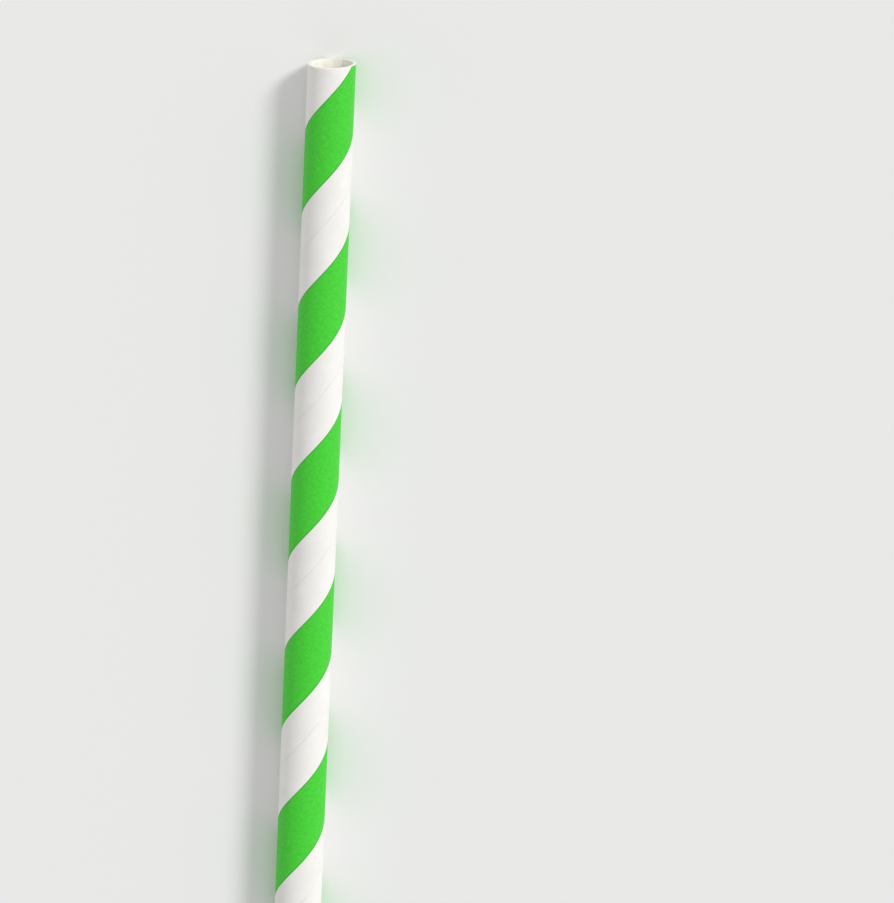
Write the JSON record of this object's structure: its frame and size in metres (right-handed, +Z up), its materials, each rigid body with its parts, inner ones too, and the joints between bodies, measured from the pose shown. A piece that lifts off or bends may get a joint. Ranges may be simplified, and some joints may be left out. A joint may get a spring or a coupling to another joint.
{
  "type": "paper drinking straw",
  "caption": "Straight paper drinking straw: a spiral-wound tube with square-cut open ends and a broad green spiral stripe printed on white paper.",
  "frame": {"origin": "under the middle of the straw, on the surface it lies on", "axes": "+X along the straw towards its drinking end, +Z up as the straw lies"},
  "size_m": [0.197, 0.006, 0.006],
  "materials": {
    "printed_paper": "white uncoated paper, matt, with a bright green spiral stripe printed on its outside"
  },
  "bodies": {
    "root": {"straw": "printed_paper"}
  },
  "joints": []
}
